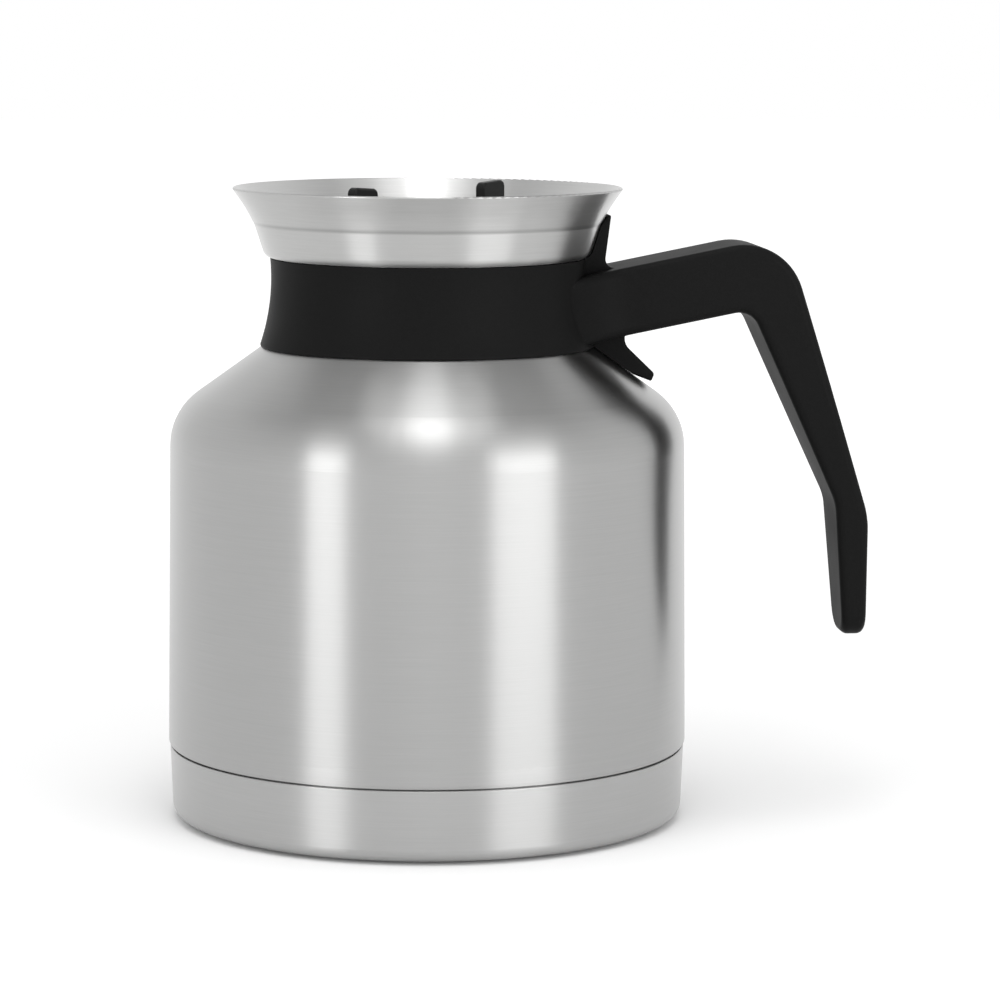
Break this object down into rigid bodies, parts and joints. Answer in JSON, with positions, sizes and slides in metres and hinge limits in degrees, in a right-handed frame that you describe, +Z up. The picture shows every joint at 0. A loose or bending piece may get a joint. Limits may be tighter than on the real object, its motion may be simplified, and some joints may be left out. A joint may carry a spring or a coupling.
{
  "type": "thermal carafe",
  "caption": "Round steel vacuum carafe with a flared pouring rim, a black moulded collar with an open hook handle, and a lift-out lid whose winged dial turns to pour.",
  "frame": {"origin": "middle of the face that the carafe stands on, on the body's axis", "axes": "+Z up along the body's axis, +X towards the handle, the picture is taken from -Y"},
  "size_m": [0.1988, 0.147, 0.1793],
  "materials": {
    "brushed_shell": "fine brushing round the body",
    "brushed_rim": "fine brushing round the rim",
    "plain_steel": "satin drawn steel",
    "sealing_glass": "fused pellet",
    "getter_metal": "sintered",
    "foil": "bright foil",
    "pad_rubber": "matte",
    "handle_plastic": "satin moulded",
    "lid_plastic": "satin moulded",
    "seal_silicone": "satin silicone"
  },
  "bodies": {
    "carafe": {"outer_shell": "brushed_shell", "inner_flask": "plain_steel", "flask_bottom": "plain_steel", "vessel_bottom": "plain_steel", "vacuum_seal": "sealing_glass", "getter": "getter_metal", "heat_shield_foil": "foil", "base_cup": "brushed_shell", "base_pad": "pad_rubber", "pouring_rim": "brushed_rim", "collar_handle": "handle_plastic"},
    "lid": {"lid_plug": "lid_plastic", "lid_seal": "seal_silicone", "mixing_tube": "lid_plastic", "funnel_ring": "lid_plastic"},
    "dial": {"lid_dial": "lid_plastic"}
  },
  "joints": [
    {"name": "lid_lift", "type": "slide", "parent": "carafe", "child": "lid", "axis": [0, 0, 1], "range_m": [0, 0.17]},
    {"name": "dial_turn", "type": "hinge", "parent": "lid", "child": "dial", "pos_m": [0, 0, 0.1619], "axis": [0, 0, 1], "range_deg": [0, 90]}
  ]
}
